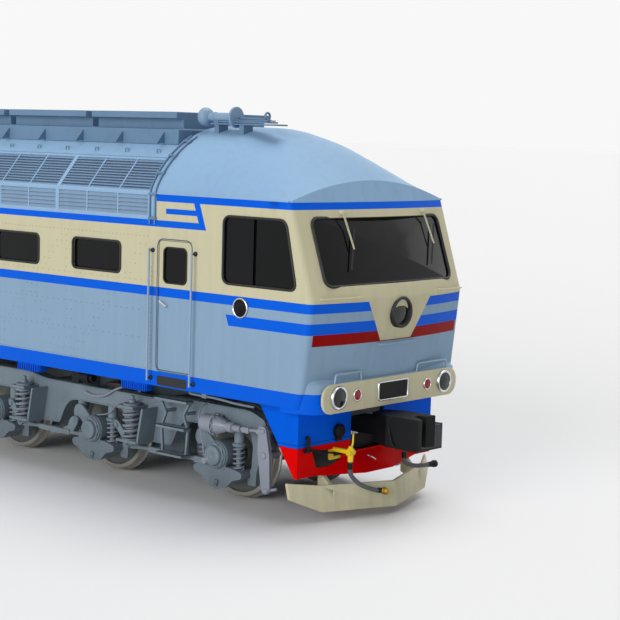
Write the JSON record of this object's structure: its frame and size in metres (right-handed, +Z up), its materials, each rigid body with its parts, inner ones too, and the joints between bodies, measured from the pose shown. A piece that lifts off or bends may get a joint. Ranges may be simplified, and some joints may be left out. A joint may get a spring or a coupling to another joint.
{
  "type": "two-cab diesel passenger locomotive",
  "caption": "Diesel passenger locomotive with a cab at each end, louvred roof sides, swivelling bogies, swinging couplers and inward-opening cab doors.",
  "frame": {"origin": "middle of the locomotive, on the plane of the lowest points of the wheel flanges", "axes": "+X forward towards the front cab, +Y to the left, +Z up"},
  "size_m": [21.7, 3.2626, 5.1206],
  "materials": {
    "cab_paint": "semi-gloss steel-blue and cream paint with bright blue stripes, light dirt",
    "side_paint": "semi-gloss steel-blue and cream paint with blue stripes, riveted panels",
    "roof_paint": "satin light steel-blue paint",
    "louvre_paint": "satin light steel-blue paint, dust in the slats",
    "door_paint": "semi-gloss paint in the colours of the side",
    "cream_paint": "semi-gloss cream paint",
    "skirt_paint": "gloss bright blue and red paint",
    "frame_paint": "satin grey paint with dust",
    "bogie_paint": "satin mid grey paint with dust and grime",
    "wheel_steel": "bright worn tread, dull web",
    "black_iron": "dull black",
    "dark_glass": "near-black tinted glass",
    "hose_rubber": "ribbed grey rubber",
    "cock_paint": "yellow paint"
  },
  "bodies": {
    "root": {"air_cocks_front": "cock_paint", "air_cocks_rear": "cock_paint", "cab_front_shell": "cab_paint", "cab_rear_shell": "cab_paint", "cab_window_front_left": "dark_glass", "cab_window_front_right": "dark_glass", "cab_window_rear_left": "dark_glass", "cab_window_rear_right": "dark_glass", "end_apron_front": "skirt_paint", "end_apron_rear": "skirt_paint", "engine_block": "frame_paint", "engine_room_shell": "side_paint", "fuel_tank": "frame_paint", "hose_coupling_front_left": "black_iron", "hose_coupling_front_right": "black_iron", "hose_coupling_rear_left": "black_iron", "hose_coupling_rear_right": "black_iron", "hose_front_left": "hose_rubber", "hose_front_right": "hose_rubber", "hose_rear_left": "hose_rubber", "hose_rear_right": "hose_rubber", "lamp_panel_front": "cream_paint", "lamp_panel_rear": "cream_paint", "louvre_bank_left": "louvre_paint", "louvre_bank_right": "louvre_paint", "plow_front": "cream_paint", "plow_rear": "cream_paint", "roof_hatches": "roof_paint", "roof_platform_front": "roof_paint", "roof_platform_rear": "roof_paint", "room_windows_front_left": "dark_glass", "room_windows_front_right": "dark_glass", "room_windows_rear_left": "dark_glass", "room_windows_rear_right": "dark_glass", "underframe": "frame_paint", "windscreen_front": "dark_glass", "windscreen_rear": "dark_glass"},
    "bogie_front": {"bogie_front_frame": "bogie_paint"},
    "coupler_front": {"coupler_front": "black_iron"},
    "bogie_rear": {"bogie_rear_frame": "bogie_paint"},
    "coupler_rear": {"coupler_rear": "black_iron"},
    "wheelset_1": {"wheelset_1": "wheel_steel"},
    "wheelset_6": {"wheelset_6": "wheel_steel"},
    "wheelset_2": {"wheelset_2": "wheel_steel"},
    "wheelset_5": {"wheelset_5": "wheel_steel"},
    "wheelset_3": {"wheelset_3": "wheel_steel"},
    "wheelset_4": {"wheelset_4": "wheel_steel"},
    "door_front_right": {"door_front_right": "door_paint", "door_glass_front_right": "dark_glass"},
    "door_front_left": {"door_front_left": "door_paint", "door_glass_front_left": "dark_glass"},
    "door_rear_left": {"door_rear_left": "door_paint", "door_glass_rear_left": "dark_glass"},
    "door_rear_right": {"door_rear_right": "door_paint", "door_glass_rear_right": "dark_glass"}
  },
  "joints": [
    {"name": "bogie_front_swivel", "type": "hinge", "parent": "root", "child": "bogie_front", "pos_m": [6.14, 0, 1.39], "axis": [0, 0, 1], "range_deg": [-3, 3]},
    {"name": "coupler_front_swing", "type": "hinge", "parent": "root", "child": "coupler_front", "pos_m": [9.35, 0, 1.1], "axis": [0, 0, 1], "range_deg": [-10, 10]},
    {"name": "bogie_rear_swivel", "type": "hinge", "parent": "root", "child": "bogie_rear", "pos_m": [-6.14, 0, 1.39], "axis": [0, 0, -1], "range_deg": [-3, 3]},
    {"name": "coupler_rear_swing", "type": "hinge", "parent": "root", "child": "coupler_rear", "pos_m": [-9.35, 0, 1.1], "axis": [0, 0, -1], "range_deg": [-10, 10]},
    {"name": "wheelset_1_roll", "type": "hinge", "parent": "bogie_front", "child": "wheelset_1", "pos_m": [8.4, 0, 0.64], "axis": [0, 1, 0], "continuous": true},
    {"name": "wheelset_6_roll", "type": "hinge", "parent": "bogie_rear", "child": "wheelset_6", "pos_m": [-8.4, 0, 0.64], "axis": [0, 1, 0], "continuous": true},
    {"name": "wheelset_2_roll", "type": "hinge", "parent": "bogie_front", "child": "wheelset_2", "pos_m": [6, 0, 0.64], "axis": [0, 1, 0], "continuous": true},
    {"name": "wheelset_5_roll", "type": "hinge", "parent": "bogie_rear", "child": "wheelset_5", "pos_m": [-6, 0, 0.64], "axis": [0, 1, 0], "continuous": true},
    {"name": "wheelset_3_roll", "type": "hinge", "parent": "bogie_front", "child": "wheelset_3", "pos_m": [3.88, 0, 0.64], "axis": [0, 1, 0], "continuous": true},
    {"name": "wheelset_4_roll", "type": "hinge", "parent": "bogie_rear", "child": "wheelset_4", "pos_m": [-3.88, 0, 0.64], "axis": [0, 1, 0], "continuous": true},
    {"name": "door_front_right_hinge", "type": "hinge", "parent": "root", "child": "door_front_right", "pos_m": [7.55, -1.491, 1.7], "axis": [0, 0, 1], "range_deg": [0, 90]},
    {"name": "door_front_left_hinge", "type": "hinge", "parent": "root", "child": "door_front_left", "pos_m": [7.55, 1.491, 1.7], "axis": [0, 0, -1], "range_deg": [0, 90]},
    {"name": "door_rear_left_hinge", "type": "hinge", "parent": "root", "child": "door_rear_left", "pos_m": [-7.55, 1.491, 1.7], "axis": [0, 0, 1], "range_deg": [0, 90]},
    {"name": "door_rear_right_hinge", "type": "hinge", "parent": "root", "child": "door_rear_right", "pos_m": [-7.55, -1.491, 1.7], "axis": [0, 0, -1], "range_deg": [0, 90]}
  ]
}
